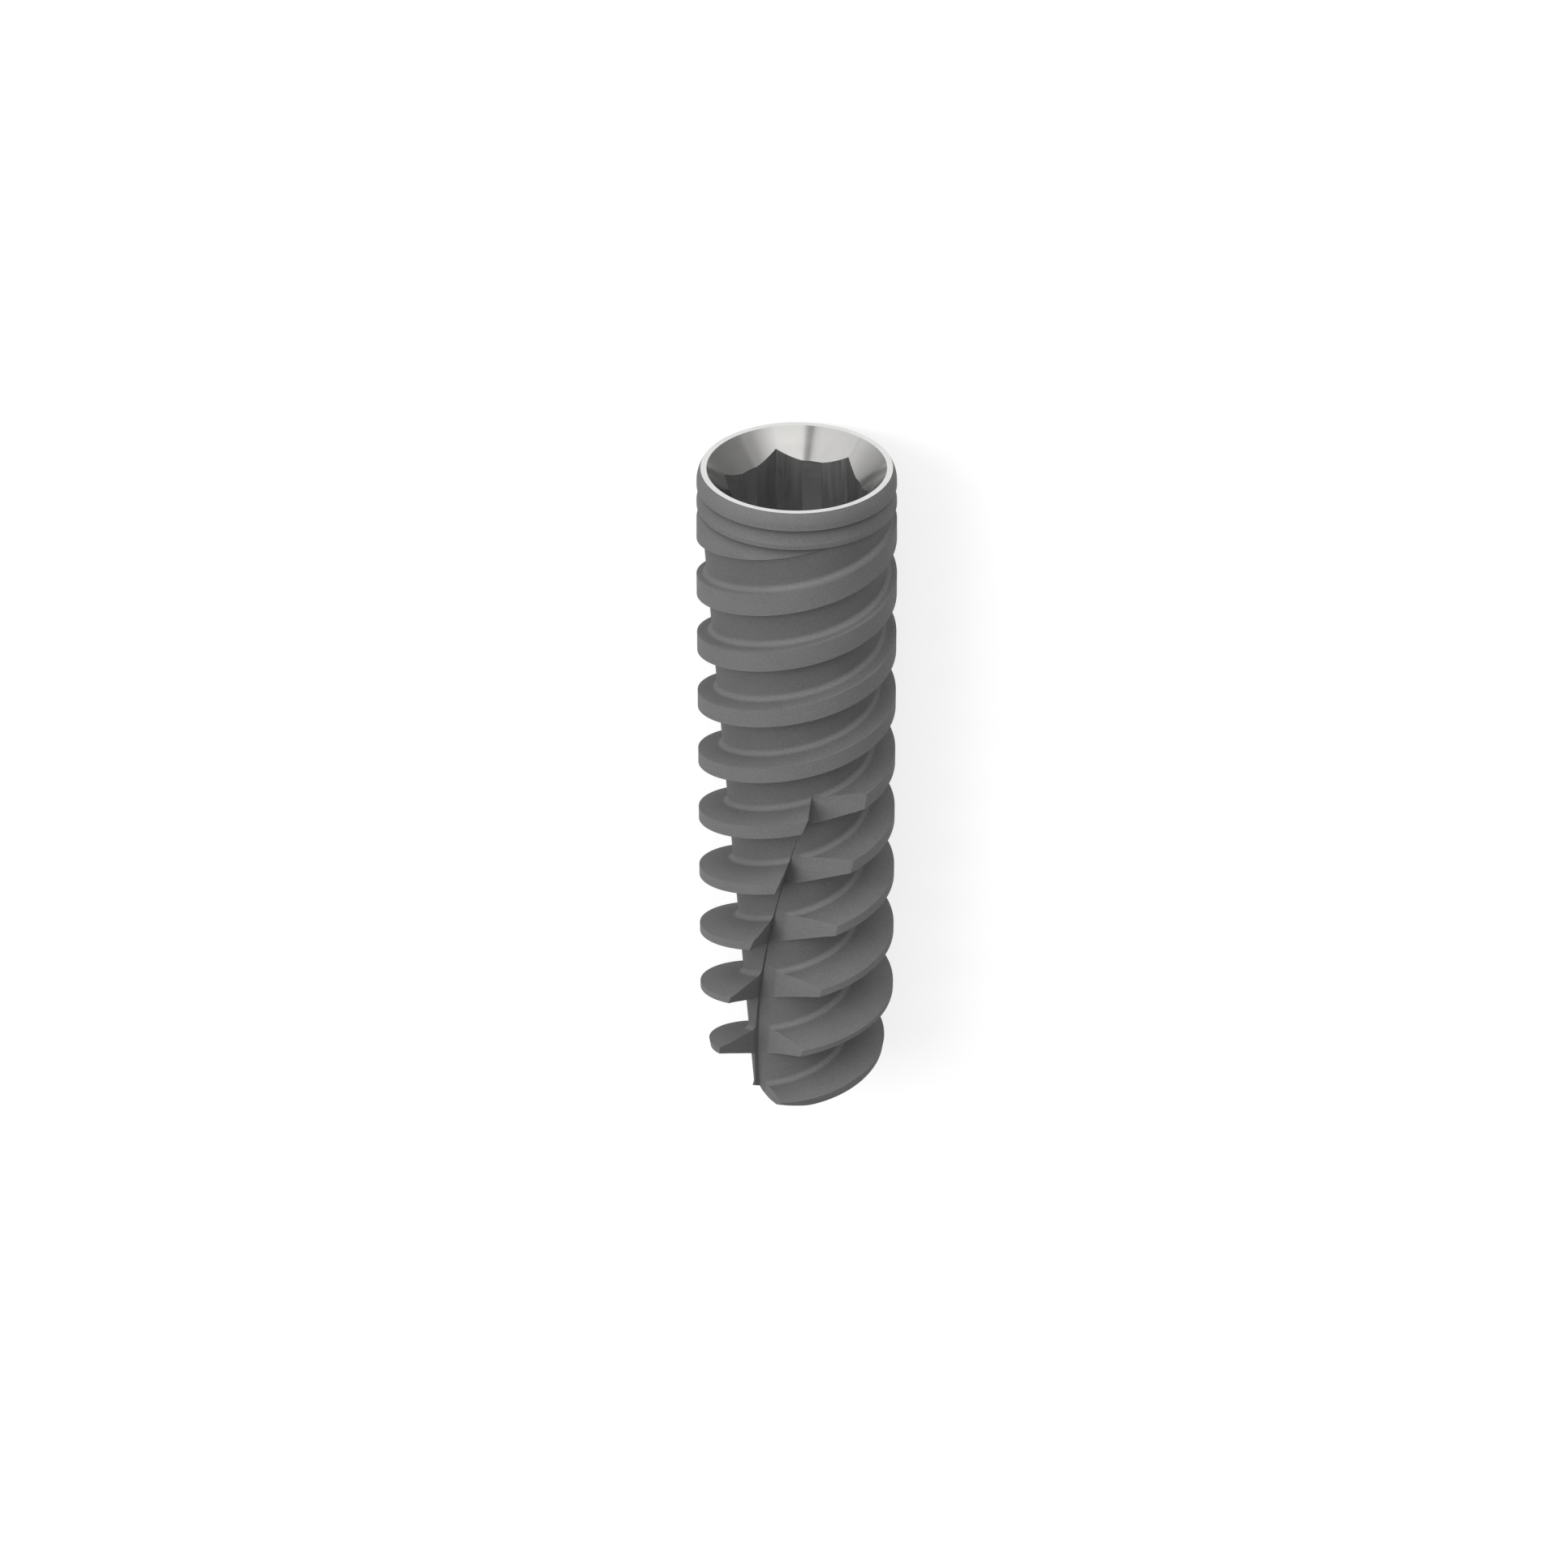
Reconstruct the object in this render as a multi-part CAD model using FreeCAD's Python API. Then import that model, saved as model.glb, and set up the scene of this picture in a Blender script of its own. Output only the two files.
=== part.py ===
import FreeCAD, Part
import math
import os

# Dental implant fixture: one piece of titanium with a tapered core, a double
# thread, two spiral cutting flutes and an internal hex socket. Sizes in millimetres.
# It is shaped upright, apex at z = 0 and platform on top, and then laid on its
# side, with its thread crests on the ground plane z = 0 and its platform towards +X.
# Azimuths are counted about the upright axis, from +X towards +Y.

# Overall body
implant_length = 13.0
crest_radius = 1.875
crest_taper_deg = 0.5
straight_crest_length = 2.2

# Tapered core under the threads
thread_depth_at_platform = 0.012
core_taper_deg = 4.68

# Double thread
thread_starts = 2
thread_pitch = 1.21
groove_root_width = 0.67
upper_flank_deg = 15.0
lower_flank_deg = 13.9
root_fillet_radius = 0.12
root_fillet_strips = 2
crest_azimuth_deg = 180.0
crest_depth_below_platform = 2.45
crest_width_depth = 0.5
points_per_turn = 12
points_per_patch = 6

# Neck: rounded shoulder and two micro rings with turned grooves under them
shoulder_inset = 0.075
shoulder_height = 0.255
ring_land_width = 0.09
ring_groove_width = 0.305
ring_step_deg = 80.0
ring_rise_deg = 18.0
ring_arc_chords = 2

# Apex
apex_flat_radius = 0.75
apex_dome_deg = 16.0
apex_blend_radius = 0.45
apex_cone_deg = 10.2
apex_cone_height = 1.85

# Spiral cutting flutes, open at the apex; angles from the middle of the flutes' side
flute_count = 2
flute_height = 7.1
flute_depth_in_core = 0.078
flute_side_azimuth_deg = -90.0
root_angle_at_apex = -75.0
root_angle_per_mm = 12.95
back_wall_angle_at_apex = -73.6
back_wall_angle_per_mm = 12.36
cutting_edge_angle_at_apex = -8.2
cutting_edge_angle_per_mm = 7.93
flute_spans = 8

# Turn about its own axis at which it comes to rest on its crests
resting_turn_deg = 3.0

# Socket, from the platform down
rim_width = 0.11
bevel_half_angle_deg = 43.1
hex_across_flats = 2.42
hex_corner_azimuth_deg = -13.75
hex_depth = 2.1
hex_relief = 0.0145
relief_length = 0.4
screw_bore_radius = 0.78
screw_bore_length = 3.1
screw_lead_in = 0.12
drill_point_deg = 59.0

# How far the cutting tools reach past the surfaces that they open
overrun = 0.6

core_radius_at_platform = crest_radius - thread_depth_at_platform
platform_radius = crest_radius - shoulder_inset
rim_inner_radius = platform_radius - rim_width
neck_top = implant_length - shoulder_height
lower_groove_top = neck_top - 2 * ring_land_width - ring_groove_width


def tan_deg(angle):
    return math.tan(math.radians(angle))


def xz(radius, height):
    return FreeCAD.Vector(radius, 0, height)


def polar(radius, azimuth_deg, height):
    azimuth = math.radians(azimuth_deg)
    return FreeCAD.Vector(radius * math.cos(azimuth), radius * math.sin(azimuth), height)


def line(start, end):
    return Part.LineSegment(start, end).toShape()


def arc(start, middle, end):
    return Part.Arc(start, middle, end).toShape()


def core_radius(height):
    return core_radius_at_platform - tan_deg(core_taper_deg) * (implant_length - height)


def crest_radius_at(height):
    taper_top = implant_length - straight_crest_length
    return crest_radius - tan_deg(crest_taper_deg) * max(0.0, taper_top - height)


def shoulder_arc():
    """Rounded edge of the platform, tangent to the neck under it."""
    radius = (shoulder_inset ** 2 + shoulder_height ** 2) / (2 * shoulder_inset)
    half_sweep = math.asin(shoulder_height / radius) / 2
    middle = xz(crest_radius - radius * (1 - math.cos(half_sweep)),
                neck_top + radius * math.sin(half_sweep))
    return arc(xz(platform_radius, implant_length), middle, xz(crest_radius, neck_top))


def ring_groove(top):
    """Turned groove that steps in under a ring and eases out again, as chords."""
    step = math.radians(ring_step_deg)
    rise = math.radians(ring_rise_deg)
    depth = ring_groove_width / (1 / math.tan(step / 2) + 1 / math.tan(rise / 2))
    deepest = top - depth / math.tan(step / 2)
    turns = [step * (1 - i / ring_arc_chords) for i in range(ring_arc_chords)]
    turns += [-rise * i / ring_arc_chords for i in range(ring_arc_chords + 1)]
    points = []
    for turn in turns:
        radius = depth / (1 - math.cos(step if turn > 0 else rise))
        points.append(xz(crest_radius - depth + radius * (1 - math.cos(turn)),
                         deepest + radius * math.sin(turn)))
    return points


def apex_corner():
    """Where the apex cone and the dome would meet without the blend."""
    cone_slope = tan_deg(apex_cone_deg)
    dome_slope = tan_deg(apex_dome_deg)
    base = crest_radius_at(apex_cone_height) - cone_slope * apex_cone_height
    height = dome_slope * (base - apex_flat_radius) / (1 - dome_slope * cone_slope)
    return xz(base + cone_slope * height, height)


def apex_edges(cone_top):
    """Cone, blend arc, dome and flat, down to the axis."""
    corner = apex_corner()
    flat_edge = xz(apex_flat_radius, 0)
    up = (cone_top - corner).normalize()
    inward = (flat_edge - corner).normalize()
    half_angle = up.getAngle(inward) / 2
    setback = apex_blend_radius / math.tan(half_angle)
    cut_in = apex_blend_radius / math.sin(half_angle) - apex_blend_radius
    upper = corner + up * setback
    lower = corner + inward * setback
    middle = corner + (up + inward).normalize() * cut_in
    return [line(cone_top, upper), arc(upper, middle, lower), line(lower, flat_edge),
            line(flat_edge, xz(0, 0))]


def make_blank():
    """Turned blank: platform, neck rings, crest envelope and apex, about Z."""
    upper_groove_top = neck_top - ring_land_width
    neck = [xz(crest_radius, neck_top)]
    neck += ring_groove(upper_groove_top)
    neck += ring_groove(lower_groove_top)
    neck.append(xz(crest_radius, implant_length - straight_crest_length))
    neck.append(xz(crest_radius_at(apex_cone_height), apex_cone_height))
    edges = [line(xz(0, implant_length), xz(platform_radius, implant_length)),
             shoulder_arc()]
    edges += [line(neck[i], neck[i + 1]) for i in range(len(neck) - 1)]
    edges += apex_edges(neck[-1])
    edges.append(line(xz(0, 0), xz(0, implant_length)))
    profile = Part.Face(Part.Wire(edges))
    return profile.revolve(xz(0, 0), xz(0, 1), 360)


def helical_patches(guide_a, guide_b):
    """Ruled strip between two helical guides, as one face for each part of a turn."""
    parameters = [float(i) for i in range(len(guide_a))]
    curves = []
    for points in (guide_a, guide_b):
        curve = Part.BSplineCurve()
        curve.interpolate(Points=points, Parameters=parameters)
        curves.append(curve)
    rows = [list(row) for row in zip(curves[0].getPoles(), curves[1].getPoles())]
    strip = Part.BSplineSurface()
    strip.buildFromPolesMultsKnots(
        rows, curves[0].getMultiplicities(), [2, 2], curves[0].getKnots(), [0.0, 1.0],
        False, False, curves[0].Degree, 1)
    last = len(parameters) - 1
    patches = []
    for start in range(0, last, points_per_patch):
        patch = strip.copy()
        patch.segment(parameters[start], parameters[min(start + points_per_patch, last)],
                      0.0, 1.0)
        patches.append(patch.toShape())
    return patches


def groove_section(low):
    """Section of the thread groove as (radius, height), root corner at height low.

    The root lies on the core cone. The groove's lower side is the upper flank of
    the tooth below, and a fillet joins it to the root.
    """
    lower_slope = tan_deg(upper_flank_deg)
    upper_slope = tan_deg(lower_flank_deg)
    outer = crest_radius + overrun
    high = low + groove_root_width
    first_turn = -core_taper_deg
    last_turn = 90 - upper_flank_deg
    setback = root_fillet_radius * tan_deg((last_turn - first_turn) / 2)
    start = low + setback * math.cos(math.radians(core_taper_deg))
    centre_radius = core_radius(start) + root_fillet_radius * math.cos(
        math.radians(first_turn))
    centre_height = start + root_fillet_radius * math.sin(math.radians(first_turn))
    section = [(core_radius(high), high)]
    for i in range(root_fillet_strips + 1):
        turn = math.radians(first_turn
                            + (last_turn - first_turn) * i / root_fillet_strips)
        section.append((centre_radius - root_fillet_radius * math.cos(turn),
                        centre_height - root_fillet_radius * math.sin(turn)))
    section.append((outer, low - lower_slope * (outer - core_radius(low))))
    section.append((outer, high + upper_slope * (outer - core_radius(high))))
    return section


def thread_cutter(start_index):
    """Groove of one thread start, wound along the core cone and past the apex."""
    lead = thread_starts * thread_pitch
    flank_slopes = tan_deg(upper_flank_deg) + tan_deg(lower_flank_deg)
    crest_width = thread_pitch - groove_root_width - flank_slopes * crest_width_depth
    root_offset = crest_width / 2 + tan_deg(upper_flank_deg) * crest_width_depth
    bottom = -overrun - thread_pitch
    crest_height = implant_length - crest_depth_below_platform
    start_azimuth = (crest_azimuth_deg + 360.0 * start_index / thread_starts
                     + 360 * (bottom - crest_height) / lead)
    stations = math.ceil((implant_length - bottom) / lead * points_per_turn)
    sections = []
    for i in range(stations + 1):
        azimuth = start_azimuth + 360.0 * i / points_per_turn
        low = bottom + root_offset + lead * i / points_per_turn
        sections.append([polar(r, azimuth, z) for r, z in groove_section(low)])
    guides = [list(points) for points in zip(*sections)]
    faces = [Part.Face(Part.makePolygon(s + s[:1])) for s in (sections[0], sections[-1])]
    for i in range(len(guides)):
        faces += helical_patches(guides[i - 1], guides[i])
    shell = Part.makeShell(faces)
    shell.sewShape()
    above = Part.makeCylinder(crest_radius + 2 * overrun, implant_length, xz(0, lower_groove_top))
    return Part.makeSolid(shell).cut(above)


def flute_section(height, root_radius):
    """Triangle across a flute: its root line, cutting edge side and back wall."""
    edge_radius = crest_radius_at(height)
    reach = crest_radius + 2 * overrun

    def corner(radius, angle_at_apex, angle_per_mm):
        angle = angle_at_apex + angle_per_mm * height
        return polar(radius, flute_side_azimuth_deg + angle, height)

    root = corner(root_radius, root_angle_at_apex, root_angle_per_mm)
    edge = corner(edge_radius, cutting_edge_angle_at_apex, cutting_edge_angle_per_mm)
    back = corner(edge_radius, back_wall_angle_at_apex, back_wall_angle_per_mm)
    far_edge = root + (edge - root).normalize() * reach
    far_back = root + (back - root).normalize() * reach
    return Part.makePolygon([root, far_edge, far_back, root])


def flute_cutter():
    """Flute tool: a twisted notch whose root runs out of the core at its top."""
    sections = []
    for i in range(flute_spans + 1):
        height = -overrun + (flute_height + overrun) * i / flute_spans
        depth = flute_depth_in_core * (1 - height / flute_height)
        sections.append(flute_section(height, core_radius(height) - depth))
    return Part.makeLoft(sections, True, False)


def make_socket():
    """Socket tool: bevel, hex, round relief, and the blind bore of the fixing screw."""
    bevel_depth = rim_inner_radius / tan_deg(bevel_half_angle_deg)
    bevel = Part.makeCone(0, rim_inner_radius, bevel_depth,
                          xz(0, implant_length - bevel_depth))
    corner_radius = hex_across_flats / 2 / math.cos(math.pi / 6)
    hex_floor = implant_length - hex_depth
    corners = [polar(corner_radius, hex_corner_azimuth_deg + 60 * i, hex_floor)
               for i in range(6)]
    hexagon = Part.Face(Part.makePolygon(corners + corners[:1])).extrude(xz(0, hex_depth))
    relief_floor = hex_floor - relief_length
    relief = Part.makeCylinder(hex_across_flats / 2 + hex_relief,
                               implant_length - relief_floor, xz(0, relief_floor))
    lead_in = Part.makeCone(screw_bore_radius, screw_bore_radius + screw_lead_in,
                            screw_lead_in, xz(0, relief_floor - screw_lead_in))
    bore_floor = relief_floor - screw_bore_length
    bore = Part.makeCylinder(screw_bore_radius, implant_length - bore_floor,
                             xz(0, bore_floor))
    point_depth = screw_bore_radius / tan_deg(drill_point_deg)
    point = Part.makeCone(0, screw_bore_radius, point_depth,
                          xz(0, bore_floor - point_depth))
    return bevel.fuse([hexagon, relief, lead_in, bore, point])


def make_implant():
    """The whole fixture, upright."""
    body = make_blank()
    for i in range(thread_starts):
        body = body.cut(thread_cutter(i))
    flute = flute_cutter()
    for i in range(flute_count):
        turned = flute.copy()
        turned.rotate(xz(0, 0), xz(0, 1), 360.0 * i / flute_count)
        body = body.cut(turned)
    return body.cut(make_socket())


def lay_down(body):
    """Lay the fixture on its crest cone, the flutes' side up, platform towards +X."""
    body.rotate(xz(0, 0), xz(0, 1), resting_turn_deg)
    flat = FreeCAD.Matrix(0, 0, 1, -implant_length / 2,
                          -1, 0, 0, 0,
                          0, -1, 0, 0,
                          0, 0, 0, 1)
    body.transformShape(flat)
    # The taper starts this far from the middle of the length, at full crest radius
    contact_x = implant_length / 2 - straight_crest_length
    contact = FreeCAD.Vector(contact_x, 0, -crest_radius)
    body.translate(contact * -1)
    body.rotate(FreeCAD.Vector(0, 0, 0), FreeCAD.Vector(0, -1, 0), crest_taper_deg)
    body.translate(FreeCAD.Vector(contact_x, 0, 0))
    return body


os.makedirs("parts", exist_ok=True)
implant = lay_down(make_implant())
implant.exportStep("parts/implant_body.step")
print("implant_body valid", implant.isValid(), "solids", len(implant.Solids),
      "volume mm3", round(implant.Volume, 3))
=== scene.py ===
import math

import bmesh
import bpy
from mathutils import Matrix, Vector


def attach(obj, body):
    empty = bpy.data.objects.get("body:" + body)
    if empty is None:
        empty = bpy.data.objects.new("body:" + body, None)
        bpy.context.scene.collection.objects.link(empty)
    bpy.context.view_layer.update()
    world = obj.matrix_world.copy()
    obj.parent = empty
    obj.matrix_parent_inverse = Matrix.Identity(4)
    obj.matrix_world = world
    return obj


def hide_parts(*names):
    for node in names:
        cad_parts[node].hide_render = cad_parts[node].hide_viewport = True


# Dental implant fixture lying on its crests on a pale floor. The visual mesh repeats
# the solid's form with fine facets and true rounds. It is shaped upright in
# millimetres, apex at z = 0, then laid down in metres.

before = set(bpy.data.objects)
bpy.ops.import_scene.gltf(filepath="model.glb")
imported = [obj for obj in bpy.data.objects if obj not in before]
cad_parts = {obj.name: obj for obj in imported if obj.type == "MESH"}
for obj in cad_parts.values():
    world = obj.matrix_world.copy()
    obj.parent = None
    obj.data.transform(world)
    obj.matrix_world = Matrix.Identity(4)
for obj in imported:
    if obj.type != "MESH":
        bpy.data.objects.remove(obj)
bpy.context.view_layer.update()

MM = 0.001

# Overall body
implant_length = 13.0
crest_radius = 1.875
crest_taper_deg = 0.5
straight_crest_length = 2.2

# Tapered core under the threads
thread_depth_at_platform = 0.012
core_taper_deg = 4.68

# Double thread
thread_starts = 2
thread_pitch = 1.21
groove_root_width = 0.67
upper_flank_deg = 15.0
lower_flank_deg = 13.9
root_fillet_radius = 0.12
crest_azimuth_deg = 180.0
crest_depth_below_platform = 2.45
crest_width_depth = 0.5

# Neck: rounded shoulder and two micro rings
shoulder_inset = 0.075
shoulder_height = 0.255
ring_land_width = 0.09
ring_groove_width = 0.305
ring_step_deg = 80.0
ring_rise_deg = 18.0

# Apex
apex_flat_radius = 0.75
apex_dome_deg = 16.0
apex_blend_radius = 0.45
apex_cone_deg = 10.2
apex_cone_height = 1.85

# Spiral cutting flutes
flute_count = 2
flute_height = 7.1
flute_depth_in_core = 0.078
flute_side_azimuth_deg = -90.0
root_angle_at_apex = -75.0
root_angle_per_mm = 12.95
back_wall_angle_at_apex = -73.6
back_wall_angle_per_mm = 12.36
cutting_edge_angle_at_apex = -8.2
cutting_edge_angle_per_mm = 7.93

# Rest on the floor
resting_turn_deg = 3.0

# Socket
rim_width = 0.11
bevel_half_angle_deg = 43.1
hex_across_flats = 2.42
hex_corner_azimuth_deg = -13.75
hex_depth = 2.1
hex_relief = 0.0145
relief_length = 0.4
screw_bore_radius = 0.78
screw_bore_length = 3.1
screw_lead_in = 0.12
drill_point_deg = 59.0
overrun = 0.6

# Fineness of the mesh
columns = 240
fillet_steps = 8
round_steps = 10
flute_steps = 90
crease_deg = 16.0

# Camera: a parallel view from above the platform, measured in the photograph
photo_size_px = 1932
photo_px_per_mm = 65.92
axis_column_px = 981.7
rim_row_px = 576.5
view_elevation_deg = 28.25
camera_distance = 0.12

# Light: directions are in the fixture's own upright frame, front is -y
key_towards = (-0.6, -0.7, 0.27)
key_distance = 0.25
key_size = 0.18
key_watts = 0.34
sky_base = 0.2
sky_lobes = (((0.0, 0.0, 1.0), 1.42),)
sky_lobe_edges = (-0.2, 0.75)
gap_azimuth_deg = 23.6
gap_strength = 0.45
gap_edges = (0.03, 0.10)
floor_half_width = 0.6
floor_grey = 0.38
floor_glow = 0.72

# Painted light in the colours: painted shade in the thread's core and under the micro rings, a
# painted highlight on the root fillets, and painted reflections round the bevel
offset_span = 0.6
# Painted shade in the thread's core, by the offset outside the core as a share of offset_span
core_painted_shade = ((0.0, 0.72), (0.01, 0.72), (0.08, 0.87))
# Painted highlight on the root fillet, painted shade just outside it, and flanks painted lighter
# outwards
flank_painted_shade_and_highlight = ((0.0, 0.74), (0.05, 0.86), (0.12, 0.92), (0.17, 0.75), (0.25, 0.72), (0.6, 0.78),
               (1.0, 0.83))
# Painted shade under the micro rings: how far in from the crest it reaches, and its greys over
# one ring period
ring_shade_depth = 0.06
ring_shade = ((0.0, 0.56), (0.035, 0.52), (0.1, 0.6), (0.19, 0.68), (0.27, 0.78), (0.38, 0.87),
              (0.52, 0.91), (0.75, 0.94), (0.97, 0.95), (1.0, 0.8))
# Painted reflections round the bevel: (azimuth in degrees, grey)
bevel_painted_reflections = ((-180, 0.22), (-165, 0.32), (-15, 0.66), (10, 0.28), (42, 0.77), (50, 0.61),
               (72, 0.64), (80, 0.55), (86, 0.74), (104, 0.72), (122, 0.32), (140, 0.26),
               (168, 0.15), (180, 0.22))

BLASTED, POLISHED, SOCKET, RIM, BORE = range(5)

core_radius_at_platform = crest_radius - thread_depth_at_platform
platform_radius = crest_radius - shoulder_inset
rim_inner_radius = platform_radius - rim_width
neck_top = implant_length - shoulder_height
lower_groove_top = neck_top - 2 * ring_land_width - ring_groove_width


def tan_deg(angle):
    return math.tan(math.radians(angle))


def polar(radius, azimuth_deg, height):
    azimuth = math.radians(azimuth_deg)
    return Vector((radius * math.cos(azimuth), radius * math.sin(azimuth), height))


def core_radius(height):
    return core_radius_at_platform - tan_deg(core_taper_deg) * (implant_length - height)


def crest_radius_at(height):
    taper_top = implant_length - straight_crest_length
    return crest_radius - tan_deg(crest_taper_deg) * max(0.0, taper_top - height)


def arc_points(centre, radius, start, end, steps):
    """Points of an arc as (radius, height), from angle start to angle end."""
    turns = [start + (end - start) * i / steps for i in range(steps + 1)]
    return [(centre[0] + radius * math.cos(t), centre[1] + radius * math.sin(t))
            for t in turns]


def shoulder_points():
    radius = (shoulder_inset ** 2 + shoulder_height ** 2) / (2 * shoulder_inset)
    span = math.asin(shoulder_height / radius)
    return arc_points((crest_radius - radius, neck_top), radius, span, 0.0, round_steps)


def ring_groove_points(top):
    """Turned groove that steps in under a ring and eases out again."""
    step = math.radians(ring_step_deg)
    rise = math.radians(ring_rise_deg)
    depth = ring_groove_width / (1 / math.tan(step / 2) + 1 / math.tan(rise / 2))
    deepest = top - depth / math.tan(step / 2)
    points = []
    for span, start, end in ((step, -step, 0.0), (rise, 0.0, rise)):
        radius = depth / (1 - math.cos(span))
        centre = (crest_radius - depth + radius, deepest)
        points += arc_points(centre, radius, math.pi + start, math.pi + end, round_steps)
    del points[round_steps]
    return points


def apex_points(cone_top):
    """Blend from the apex cone into the dome, and the dome down to the flat."""
    cone_slope = tan_deg(apex_cone_deg)
    dome_slope = tan_deg(apex_dome_deg)
    base = cone_top[0] - cone_slope * cone_top[1]
    height = dome_slope * (base - apex_flat_radius) / (1 - dome_slope * cone_slope)
    corner = Vector((base + cone_slope * height, height))
    up = (Vector(cone_top) - corner).normalized()
    inward = (Vector((apex_flat_radius, 0)) - corner).normalized()
    half_angle = up.angle(inward) / 2
    centre = corner + (up + inward).normalized() * apex_blend_radius / math.sin(half_angle)
    points = arc_points(centre, apex_blend_radius, -math.radians(apex_cone_deg),
                        -math.pi / 2 + math.radians(apex_dome_deg), round_steps)
    return points + [(apex_flat_radius, 0.0)]


def lathe(profile, slot, turn_offset):
    """Closed solid of revolution from a profile that starts and ends on the axis."""
    inner = profile[1:-1]
    vertices = [(0, 0, profile[0][1]), (0, 0, profile[-1][1])]
    for i in range(columns):
        azimuth = 360.0 * (i + turn_offset) / columns
        vertices += [polar(r, azimuth, z) for r, z in inner]
    faces = []
    rows = len(inner)
    for i in range(columns):
        here = 2 + i * rows
        there = 2 + (i + 1) % columns * rows
        faces.append((0, here, there))
        faces += [(here + k, here + k + 1, there + k + 1, there + k)
                  for k in range(rows - 1)]
        faces.append((1, there + rows - 1, here + rows - 1))
    return vertices, faces, [slot] * len(faces)


def sweep(sections, slot):
    """Closed solid through a row of equal polygons."""
    size = len(sections[0])
    vertices = [p for section in sections for p in section]
    faces = [tuple(range(size - 1, -1, -1))]
    for i in range(len(sections) - 1):
        here, there = i * size, (i + 1) * size
        faces += [(here + k, here + (k + 1) % size, there + (k + 1) % size, there + k)
                  for k in range(size)]
    faces.append(tuple(range(len(vertices) - size, len(vertices))))
    return vertices, faces, [slot] * len(faces)


def solid(name, parts, materials):
    """Object from vertices, faces and material slots, its normals turned outward."""
    vertices, faces, slots = parts
    mesh = bpy.data.meshes.new(name)
    mesh.from_pydata([tuple(v) for v in vertices], [], faces)
    for material in materials:
        mesh.materials.append(material)
    mesh.polygons.foreach_set("material_index", slots)
    shell = bmesh.new()
    shell.from_mesh(mesh)
    bmesh.ops.recalc_face_normals(shell, faces=shell.faces)
    shell.to_mesh(mesh)
    shell.free()
    piece = bpy.data.objects.new(name, mesh)
    bpy.context.scene.collection.objects.link(piece)
    return piece


def cut(body, tool):
    """Takes the tool's solid out of the body and deletes the tool."""
    modifier = body.modifiers.new("cut", "BOOLEAN")
    modifier.operation = "DIFFERENCE"
    modifier.solver = "MANIFOLD"
    modifier.object = tool
    graph = bpy.context.evaluated_depsgraph_get()
    made = bpy.data.meshes.new_from_object(body.evaluated_get(graph))
    body.modifiers.remove(modifier)
    old = body.data
    body.data = made
    bpy.data.meshes.remove(old)
    bpy.data.meshes.remove(tool.data)
    return body


def make_blank(materials):
    """Turned blank, from the platform's centre down to the apex."""
    cone_top = (crest_radius_at(apex_cone_height), apex_cone_height)
    profile = [(0.0, implant_length)]
    profile += shoulder_points()
    profile += ring_groove_points(neck_top - ring_land_width)
    profile += ring_groove_points(lower_groove_top)
    profile += [(crest_radius, implant_length - straight_crest_length), cone_top]
    profile += apex_points(cone_top)
    profile.append((0.0, 0.0))
    return solid("fixture", lathe(profile, BLASTED, 0.0), materials)


def cut_socket(body, materials):
    """Bevel, hex, round relief and the fixing screw's blind bore."""
    bevel_depth = rim_inner_radius / tan_deg(bevel_half_angle_deg)
    above = implant_length + overrun
    mouth_radius = rim_inner_radius + overrun * tan_deg(bevel_half_angle_deg)
    bevel = [(0.0, above), (mouth_radius, above), (0.0, implant_length - bevel_depth)]
    cut(body, solid("bevel", lathe(bevel, POLISHED, 0.5), materials))
    corner_radius = hex_across_flats / 2 / math.cos(math.pi / 6)
    hex_floor = implant_length - hex_depth
    sections = [[polar(corner_radius, hex_corner_azimuth_deg + 60 * i, height)
                 for i in range(6)] for height in (hex_floor, above)]
    cut(body, solid("hex", sweep(sections, SOCKET), materials))
    relief_radius = hex_across_flats / 2 + hex_relief
    relief_floor = hex_floor - relief_length
    bore_floor = relief_floor - screw_bore_length
    point_depth = screw_bore_radius / tan_deg(drill_point_deg)
    bore = [(0.0, above), (relief_radius, above), (relief_radius, relief_floor),
            (screw_bore_radius + screw_lead_in, relief_floor),
            (screw_bore_radius, relief_floor - screw_lead_in),
            (screw_bore_radius, bore_floor), (0.0, bore_floor - point_depth)]
    cut(body, solid("bore", lathe(bore, BORE, 0.25), materials))


def groove_section(low):
    """Thread groove as (radius, height), with its root corner at height low."""
    lower_slope = tan_deg(upper_flank_deg)
    upper_slope = tan_deg(lower_flank_deg)
    outer = crest_radius + overrun
    high = low + groove_root_width
    first_turn = -math.radians(core_taper_deg)
    last_turn = math.radians(90 - upper_flank_deg)
    setback = root_fillet_radius * math.tan((last_turn - first_turn) / 2)
    start = low + setback * math.cos(math.radians(core_taper_deg))
    centre = (core_radius(start) + root_fillet_radius * math.cos(first_turn),
              start + root_fillet_radius * math.sin(first_turn))
    section = [(core_radius(high), high)]
    section += arc_points(centre, root_fillet_radius, math.pi + first_turn,
                          math.pi + last_turn, fillet_steps)
    section.append((outer, low - lower_slope * (outer - core_radius(low))))
    section.append((outer, high + upper_slope * (outer - core_radius(high))))
    return section


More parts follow.
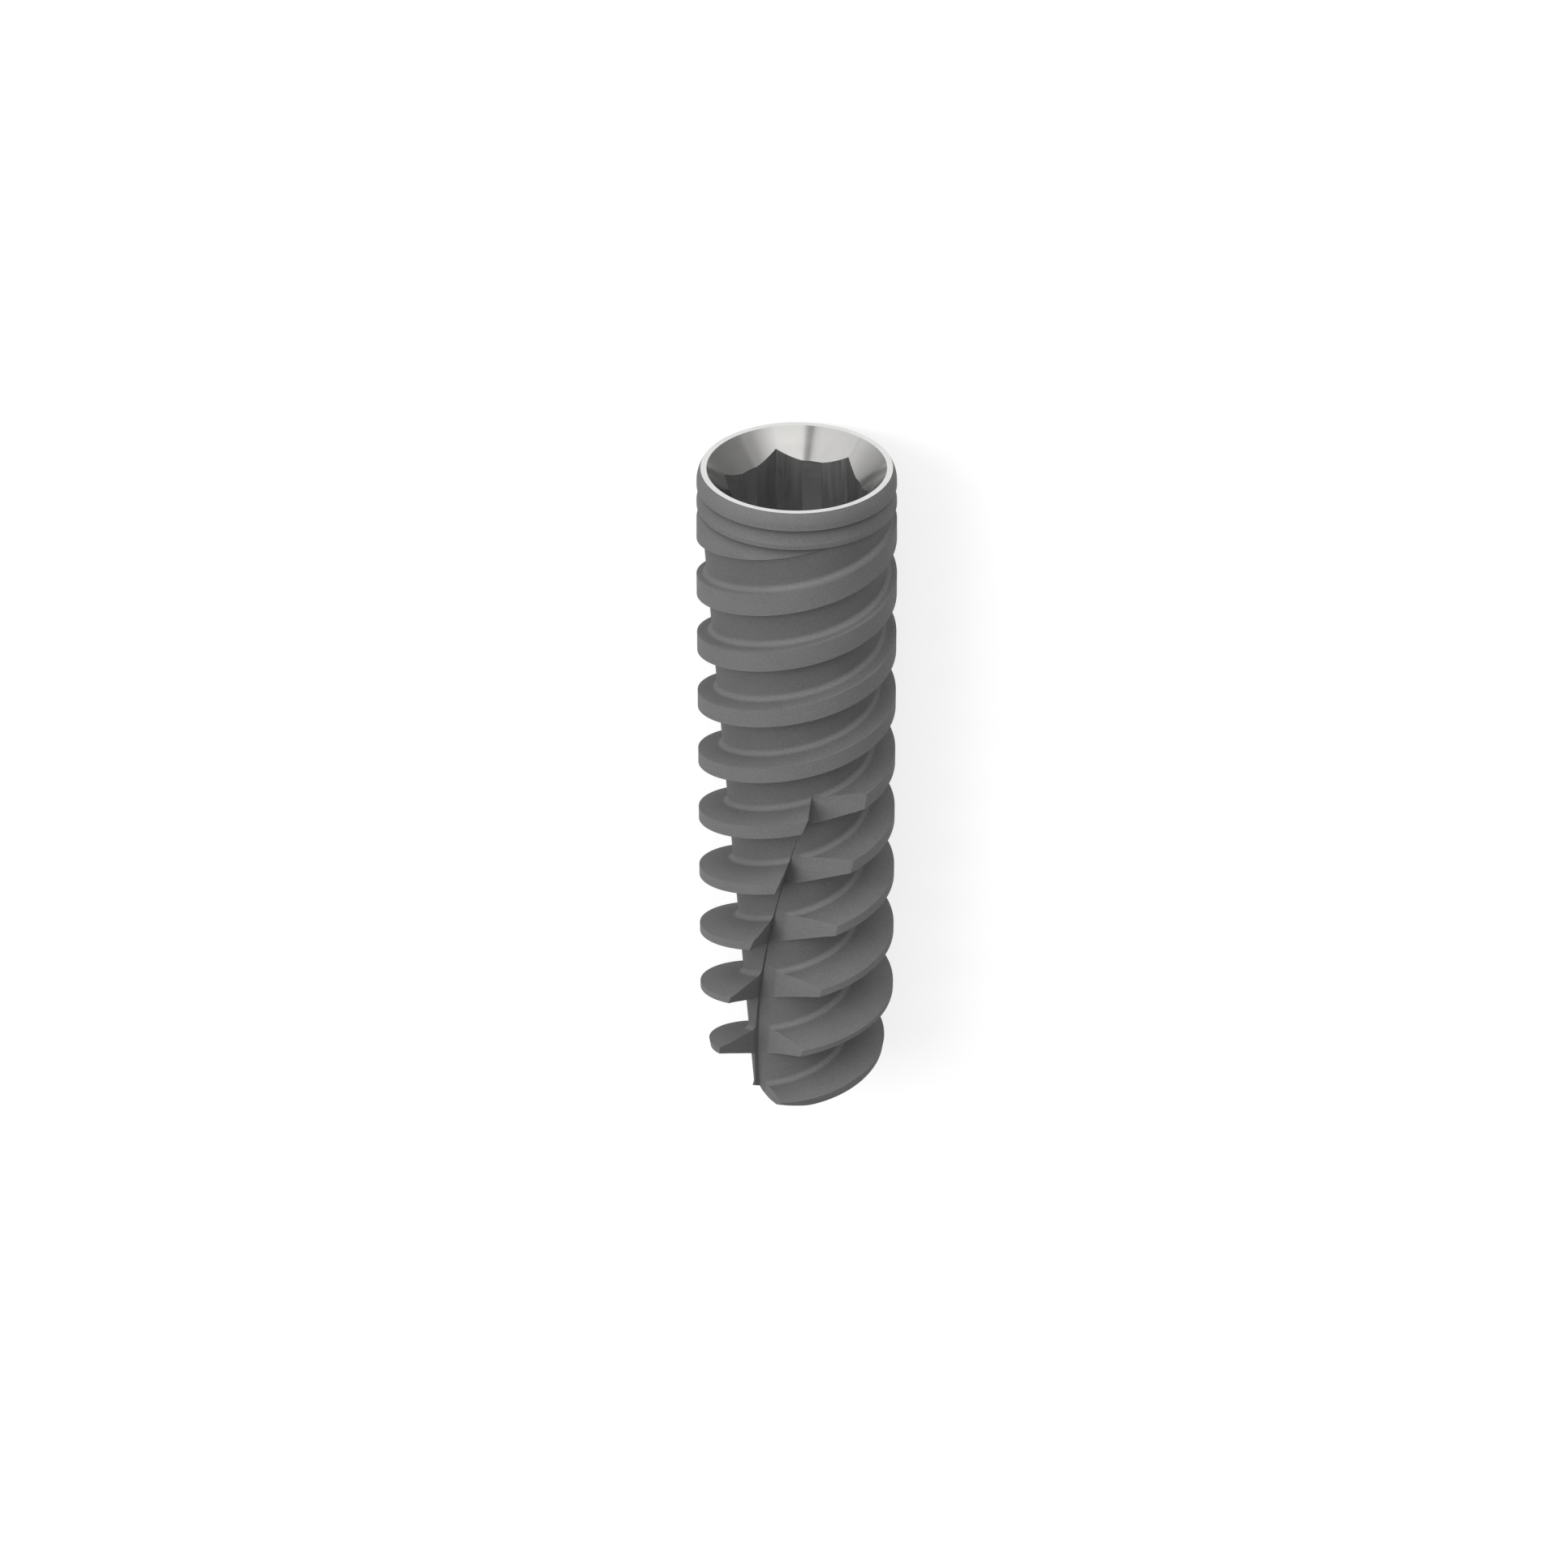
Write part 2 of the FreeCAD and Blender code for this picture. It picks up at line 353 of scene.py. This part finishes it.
def thread_tool(start_index, materials):
    """Groove of one thread start, wound along the core and ended at the neck."""
    lead = thread_starts * thread_pitch
    flank_slopes = tan_deg(upper_flank_deg) + tan_deg(lower_flank_deg)
    crest_width = thread_pitch - groove_root_width - flank_slopes * crest_width_depth
    root_offset = crest_width / 2 + tan_deg(upper_flank_deg) * crest_width_depth
    bottom = -overrun - thread_pitch
    crest_height = implant_length - crest_depth_below_platform
    start_azimuth = (crest_azimuth_deg + 360.0 * start_index / thread_starts
                     + 360 * (bottom - crest_height) / lead)
    stations = math.ceil((implant_length - bottom) / lead * columns)
    sections = []
    for i in range(stations + 1):
        azimuth = start_azimuth + 360.0 * i / columns
        low = bottom + root_offset + lead * i / columns
        sections.append([polar(r, azimuth, z) for r, z in groove_section(low)])
    tool = solid("groove", sweep(sections, BLASTED), materials)
    reach = crest_radius + 2 * overrun
    above = [(0.0, 2 * implant_length), (reach, 2 * implant_length), (reach, lower_groove_top),
             (0.0, lower_groove_top)]
    return cut(tool, solid("above", lathe(above, BLASTED, 0.5), materials))


def flute_tool(index, materials):
    """Twisted notch whose root runs out of the core at its top."""
    reach = crest_radius + 2 * overrun
    side = flute_side_azimuth_deg + 360.0 * index / flute_count
    sections = []
    for i in range(flute_steps + 1):
        height = -overrun + (flute_height + overrun) * i / flute_steps
        depth = flute_depth_in_core * (1 - height / flute_height)
        edge_radius = crest_radius_at(height)
        root = polar(core_radius(height) - depth,
                     side + root_angle_at_apex + root_angle_per_mm * height, height)
        edge = polar(edge_radius, side + cutting_edge_angle_at_apex
                     + cutting_edge_angle_per_mm * height, height)
        back = polar(edge_radius, side + back_wall_angle_at_apex
                     + back_wall_angle_per_mm * height, height)
        sections.append([root, root + (edge - root).normalized() * reach,
                         root + (back - root).normalized() * reach])
    return solid("flute", sweep(sections, BLASTED), materials)


def lay_down():
    """Matrix from the upright shape in millimetres to its place on the floor."""
    turn = Matrix.Rotation(math.radians(resting_turn_deg), 4, "Z")
    flat = Matrix(((0, 0, 1, -implant_length / 2), (-1, 0, 0, 0), (0, -1, 0, 0),
                   (0, 0, 0, 1)))
    contact_x = implant_length / 2 - straight_crest_length
    to_contact = Matrix.Translation((-contact_x, 0, crest_radius))
    tilt = Matrix.Rotation(-math.radians(crest_taper_deg), 4, "Y")
    back = Matrix.Translation((contact_x, 0, 0))
    return Matrix.Scale(MM, 4) @ back @ tilt @ to_contact @ flat @ turn


def principled(name):
    """New node material and its shader."""
    material = bpy.data.materials.new(name)
    material.use_nodes = True
    return material, material.node_tree, material.node_tree.nodes["Principled BSDF"]


def math_node(tree, operation, *values, clamp=False):
    """Math node whose inputs are sockets or numbers."""
    node = tree.nodes.new("ShaderNodeMath")
    node.operation = operation
    node.use_clamp = clamp
    for i, value in enumerate(values):
        if isinstance(value, bpy.types.NodeSocket):
            tree.links.new(value, node.inputs[i])
        else:
            node.inputs[i].default_value = value
    return node.outputs[0]


def upright_position(tree, stretch=(1, 1, 1)):
    """Upright position in millimetres, stretched for grain that runs one way."""
    attribute = tree.nodes.new("ShaderNodeAttribute")
    attribute.attribute_name = "upright"
    scaled = tree.nodes.new("ShaderNodeVectorMath")
    scaled.operation = "MULTIPLY"
    scaled.inputs[1].default_value = stretch
    tree.links.new(attribute.outputs["Vector"], scaled.inputs[0])
    return scaled.outputs[0]


def turned_position(tree):
    """Radius and height, so that a texture keeps the same value round the axis."""
    split = tree.nodes.new("ShaderNodeSeparateXYZ")
    tree.links.new(upright_position(tree), split.inputs[0])
    square = math_node(tree, "ADD", math_node(tree, "POWER", split.outputs["X"], 2.0),
                       math_node(tree, "POWER", split.outputs["Y"], 2.0))
    join = tree.nodes.new("ShaderNodeCombineXYZ")
    tree.links.new(math_node(tree, "SQRT", square), join.inputs["X"])
    tree.links.new(split.outputs["Z"], join.inputs["Y"])
    return join.outputs[0]


def noise(tree, position, scale, detail=3.0, roughness=0.5):
    node = tree.nodes.new("ShaderNodeTexNoise")
    node.inputs["Scale"].default_value = scale
    node.inputs["Detail"].default_value = detail
    node.inputs["Roughness"].default_value = roughness
    tree.links.new(position, node.inputs["Vector"])
    return node.outputs["Fac"]


def blend(tree, factor, low, high, start=0.3, stop=0.7):
    """Colour or grey that runs from low to high as the factor goes from start to stop."""
    ramp = tree.nodes.new("ShaderNodeValToRGB")
    ramp.color_ramp.elements[0].position = start
    ramp.color_ramp.elements[1].position = stop
    for element, value in zip(ramp.color_ramp.elements, (low, high)):
        colour = value if isinstance(value, tuple) else (value, value, value)
        element.color = (*colour, 1)
    tree.links.new(factor, ramp.inputs["Fac"])
    return ramp.outputs["Color"]


def greys(tree, factor, stops):
    """Grey that follows the factor; stops are (factor, grey)."""
    ramp = tree.nodes.new("ShaderNodeValToRGB")
    elements = ramp.color_ramp.elements
    while len(elements) < len(stops):
        elements.new(0.5)
    for element, (place, grey) in zip(elements, stops):
        element.position = place
        element.color = (grey, grey, grey, 1)
    tree.links.new(factor, ramp.inputs["Fac"])
    return ramp.outputs["Color"]


def round_the_axis(tree, stops):
    """Grey that varies with the azimuth; stops are (azimuth in degrees, grey)."""
    split = tree.nodes.new("ShaderNodeSeparateXYZ")
    tree.links.new(upright_position(tree), split.inputs[0])
    angle = math_node(tree, "ARCTAN2", split.outputs["Y"], split.outputs["X"])
    turn = math_node(tree, "MULTIPLY_ADD", angle, 0.5 / math.pi, 0.5)
    return greys(tree, turn, [(azimuth / 360 + 0.5, grey) for azimuth, grey in stops])


def overlay(tree, mode, factor, base, top):
    """Top colour laid over the base colour."""
    mix = tree.nodes.new("ShaderNodeMix")
    mix.data_type = "RGBA"
    mix.blend_type = mode
    mix.inputs["Factor"].default_value = factor
    tree.links.new(base, mix.inputs["A"])
    tree.links.new(top, mix.inputs["B"])
    return mix.outputs["Result"]


def bump(tree, height, depth_mm, below=None):
    node = tree.nodes.new("ShaderNodeBump")
    node.inputs["Distance"].default_value = depth_mm * MM
    tree.links.new(height, node.inputs["Height"])
    if below is not None:
        tree.links.new(below, node.inputs["Normal"])
    return node.outputs["Normal"]


def groove_offset(tree):
    """How far a point is outside the core, 1 being offset_span. The neck counts as 1."""
    split = tree.nodes.new("ShaderNodeSeparateXYZ")
    tree.links.new(turned_position(tree), split.inputs[0])
    slope = tan_deg(core_taper_deg)
    core = math_node(tree, "MULTIPLY_ADD", split.outputs["Y"], slope, core_radius(0.0))
    offset = math_node(tree, "SUBTRACT", split.outputs["X"], core)
    offset = math_node(tree, "DIVIDE", offset, offset_span)
    neck = math_node(tree, "GREATER_THAN", split.outputs["Y"], neck_top - ring_land_width)
    outer = math_node(tree, "GREATER_THAN", split.outputs["X"], crest_radius - ring_shade_depth)
    return math_node(tree, "ADD", offset, math_node(tree, "ADD", neck, outer), clamp=True)


def painted_groove_shade(tree):
    """Painted light on the thread: painted shade in the core, a painted highlight on the root
    fillet, and flanks painted lighter outwards.
    """
    facing = tree.nodes.new("ShaderNodeVectorMath")
    facing.operation = "DOT_PRODUCT"
    axis = lay_down().to_3x3() @ Vector((0, 0, 1))
    facing.inputs[1].default_value = axis.normalized()
    normal = tree.nodes.new("ShaderNodeNewGeometry").outputs["Normal"]
    tree.links.new(normal, facing.inputs[0])
    offset = groove_offset(tree)
    mix = tree.nodes.new("ShaderNodeMix")
    mix.data_type = "RGBA"
    tree.links.new(blend(tree, facing.outputs["Value"], 0.0, 1.0, 0.1, 0.35),
                   mix.inputs["Factor"])
    tree.links.new(greys(tree, offset, core_painted_shade), mix.inputs["A"])
    tree.links.new(greys(tree, offset, flank_painted_shade_and_highlight), mix.inputs["B"])
    return mix.outputs["Result"]


def painted_shade_under_rings(tree):
    """Painted shade, darkest right under each micro ring's edge."""
    split = tree.nodes.new("ShaderNodeSeparateXYZ")
    tree.links.new(turned_position(tree), split.inputs[0])
    period = ring_land_width + ring_groove_width
    first_edge = neck_top - ring_land_width
    steps = math_node(tree, "MULTIPLY_ADD", split.outputs["Y"], -1 / period, first_edge / period)
    begun = math_node(tree, "GREATER_THAN", steps, 0.0)
    not_ended = math_node(tree, "LESS_THAN", steps, 1 + ring_groove_width / period)
    outer = math_node(tree, "GREATER_THAN", split.outputs["X"], crest_radius - ring_shade_depth)
    mask = math_node(tree, "MULTIPLY", begun, math_node(tree, "MULTIPLY", not_ended, outer))
    grey = greys(tree, math_node(tree, "FRACT", steps), ring_shade)
    mix = tree.nodes.new("ShaderNodeMix")
    mix.data_type = "RGBA"
    mix.inputs["A"].default_value = (1, 1, 1, 1)
    tree.links.new(mask, mix.inputs["Factor"])
    tree.links.new(grey, mix.inputs["B"])
    return mix.outputs["Result"]


def blasted_material():
    """Grit-blasted and etched titanium: dull, finely pitted, with painted shade in the thread's
    core and under the rings, and a painted highlight on the root fillets.
    """
    material, tree, shader = principled("blasted_titanium")
    position = upright_position(tree)
    clouds = blend(tree, noise(tree, position, 1.1, 4.0), (0.198, 0.198, 0.2),
                   (0.216, 0.216, 0.217))
    pits = noise(tree, position, 30.0, 4.0, 0.6)
    grain = noise(tree, position, 60.0, 2.0)
    speckle = blend(tree, pits, 0.84, 1.0, 0.34, 0.64)
    colour = overlay(tree, "MULTIPLY", 1.0, clouds, speckle)
    # Painted shade in the thread's core and a painted highlight on its root fillets
    colour = overlay(tree, "MULTIPLY", 1.0, colour, painted_groove_shade(tree))
    # Painted shade under the micro rings
    colour = overlay(tree, "MULTIPLY", 1.0, colour, painted_shade_under_rings(tree))
    tree.links.new(colour, shader.inputs["Base Color"])
    shader.inputs["Metallic"].default_value = 0.12
    shader.inputs["Specular IOR Level"].default_value = 0.2
    tree.links.new(blend(tree, grain, 0.58, 0.74), shader.inputs["Roughness"])
    coarse = bump(tree, pits, 0.008)
    tree.links.new(bump(tree, grain, 0.003, coarse), shader.inputs["Normal"])
    return material


def turned_surface(name, low, high, roughness, painted_reflections=None):
    """Bright machined titanium with the fine rings that a turning tool leaves, and painted
    reflections round the axis if they are given.
    """
    material, tree, shader = principled(name)
    rings = noise(tree, turned_position(tree), 55.0, 3.0, 0.6)
    patches = noise(tree, upright_position(tree), 2.2, 2.0)
    tone = overlay(tree, "MULTIPLY", 1.0, blend(tree, patches, low, high),
                   blend(tree, rings, 0.94, 1.0))
    if painted_reflections:
        # Painted reflections round the axis, multiplied into the colour
        tone = overlay(tree, "MULTIPLY", 1.0, tone, round_the_axis(tree, painted_reflections))
    tree.links.new(tone, shader.inputs["Base Color"])
    shader.inputs["Metallic"].default_value = 1.0
    tree.links.new(blend(tree, rings, roughness * 0.8, roughness * 1.25),
                   shader.inputs["Roughness"])
    tree.links.new(bump(tree, rings, 0.0006), shader.inputs["Normal"])
    return material


def polished_material():
    """Turned bevel, with painted reflections that fan out round the axis."""
    return turned_surface("polished_bevel", (0.58, 0.575, 0.56), (0.63, 0.625, 0.61), 0.14,
                          bevel_painted_reflections)


def rim_material():
    return turned_surface("polished_rim", (0.66, 0.66, 0.655), (0.71, 0.71, 0.705), 0.24)


def bore_material():
    return turned_surface("reamed_bore", (0.56, 0.56, 0.56), (0.61, 0.61, 0.61), 0.36)


def socket_material():
    """Broached titanium with fine marks that run down the walls."""
    material, tree, shader = principled("broached_titanium")
    marks = noise(tree, upright_position(tree, (1, 1, 0.03)), 26.0, 3.0, 0.6)
    patches = noise(tree, upright_position(tree, (1, 1, 0.4)), 1.6, 2.0)
    tone = overlay(tree, "MULTIPLY", 1.0,
                   blend(tree, patches, (0.39, 0.39, 0.39), (0.44, 0.44, 0.44)),
                   blend(tree, marks, 0.88, 1.04))
    tree.links.new(tone, shader.inputs["Base Color"])
    shader.inputs["Metallic"].default_value = 1.0
    tree.links.new(blend(tree, marks, 0.38, 0.52), shader.inputs["Roughness"])
    tree.links.new(bump(tree, marks, 0.0015), shader.inputs["Normal"])
    return material


def keep_upright(mesh):
    """Stores where each vertex is before the mesh is laid down, for the materials."""
    upright = mesh.attributes.new("upright", "FLOAT_VECTOR", "POINT")
    for vertex, place in zip(mesh.vertices, upright.data):
        place.vector = vertex.co


def make_fixture():
    materials = [blasted_material(), polished_material(), socket_material(),
                 rim_material(), bore_material()]
    body = make_blank(materials)
    cut_socket(body, materials)
    for i in range(thread_starts):
        cut(body, thread_tool(i, materials))
    for i in range(flute_count):
        cut(body, flute_tool(i, materials))
    rim = [p for p in body.data.polygons
           if p.normal.z > 0.99 and p.center.z > implant_length - overrun / 100]
    for face in rim:
        face.material_index = RIM
    keep_upright(body.data)
    body.data.transform(lay_down())
    body.data.shade_smooth()
    body.data.set_sharp_from_angle(angle=math.radians(crease_deg))
    return body


def make_floor():
    mesh = bpy.data.meshes.new("floor")
    half = floor_half_width
    mesh.from_pydata([(-half, -half, 0), (half, -half, 0), (half, half, 0),
                      (-half, half, 0)], [], [(0, 1, 2, 3)])
    floor = bpy.data.objects.new("floor", mesh)
    bpy.context.scene.collection.objects.link(floor)
    material, tree, shader = principled("pale_floor")
    shader.inputs["Base Color"].default_value = (floor_grey, floor_grey, floor_grey, 1)
    shader.inputs["Roughness"].default_value = 0.9
    shader.inputs["Specular IOR Level"].default_value = 0.0
    shader.inputs["Emission Color"].default_value = (1, 1, 1, 1)
    path = tree.nodes.new("ShaderNodeLightPath").outputs
    seen = math_node(tree, "ADD", path["Is Camera Ray"], path["Is Glossy Ray"], clamp=True)
    seen = math_node(tree, "ADD", seen, path["Is Transmission Ray"], clamp=True)
    tree.links.new(math_node(tree, "MULTIPLY", seen, floor_glow),
                   shader.inputs["Emission Strength"])
    mesh.materials.append(material)


def make_camera(placed):
    """Parallel camera at the photograph's angle and framing."""
    elevation = math.radians(view_elevation_deg)
    turn = placed.to_3x3() * (1 / MM)
    towards = turn @ Vector((0, -math.cos(elevation), math.sin(elevation)))
    up = turn @ Vector((0, math.sin(elevation), math.cos(elevation)))
    right = turn @ Vector((1, 0, 0))
    rim = placed @ Vector((0, 0, implant_length))
    centre = photo_size_px / 2
    target = (rim + up * (rim_row_px - centre) / photo_px_per_mm * MM
              - right * (axis_column_px - centre) / photo_px_per_mm * MM)
    data = bpy.data.cameras.new("camera")
    data.type = "ORTHO"
    data.ortho_scale = photo_size_px / photo_px_per_mm * MM
    data.clip_start = camera_distance / 100
    data.clip_end = camera_distance * 10
    camera = bpy.data.objects.new("camera", data)
    bpy.context.scene.collection.objects.link(camera)
    pose = Matrix((right, up, towards)).transposed().to_4x4()
    pose.translation = target + towards * camera_distance
    camera.matrix_world = pose
    bpy.context.scene.camera = camera


def area_light(name, placed, direction, distance, size, watts):
    """Soft light in a direction given in the fixture's own upright frame."""
    data = bpy.data.lights.new(name, "AREA")
    data.shape = "DISK"
    data.size = size
    data.energy = watts
    light = bpy.data.objects.new(name, data)
    bpy.context.scene.collection.objects.link(light)
    turn = placed.to_3x3() * (1 / MM)
    away = (turn @ Vector(direction)).normalized()
    light.location = away * distance
    light.rotation_mode = "QUATERNION"
    light.rotation_quaternion = away.to_track_quat("Z", "Y")


def make_world(placed):
    """Studio sky: brightest towards the top, with a gap between two soft boxes."""
    world = bpy.data.worlds.new("studio")
    world.use_nodes = True
    tree = world.node_tree
    background = tree.nodes["Background"]
    direction = tree.nodes.new("ShaderNodeTexCoord").outputs["Generated"]
    turn = placed.to_3x3() * (1 / MM)

    def along(axis):
        dot = tree.nodes.new("ShaderNodeVectorMath")
        dot.operation = "DOT_PRODUCT"
        dot.inputs[1].default_value = (turn @ Vector(axis)).normalized()
        tree.links.new(direction, dot.inputs[0])
        return dot.outputs["Value"]

    def step(value, start, stop, low, high):
        spread = tree.nodes.new("ShaderNodeMapRange")
        spread.interpolation_type = "SMOOTHSTEP"
        for i, number in enumerate((start, stop, low, high)):
            spread.inputs[i + 1].default_value = number
        tree.links.new(value, spread.inputs[0])
        return spread.outputs[0]

    sky = sky_base
    for towards, strength in sky_lobes:
        lobe = step(along(towards), *sky_lobe_edges, 0.0, strength)
        sky = math_node(tree, "ADD", sky, lobe)
    gap_side = (-math.cos(math.radians(gap_azimuth_deg)),
                math.sin(math.radians(gap_azimuth_deg)), 0)
    aside = math_node(tree, "ABSOLUTE", along(gap_side))
    gap = step(aside, *gap_edges, gap_strength, 1.0)
    tree.links.new(math_node(tree, "MULTIPLY", sky, gap), background.inputs["Strength"])
    background.inputs["Color"].default_value = (1, 1, 1, 1)
    bpy.context.scene.world = world


fixture = make_fixture()
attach(fixture, "root")
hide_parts("implant_body")
make_floor()
placed = lay_down()
make_camera(placed)
area_light("key", placed, key_towards, key_distance, key_size, key_watts)
make_world(placed)
bpy.context.scene.view_settings.view_transform = "Standard"
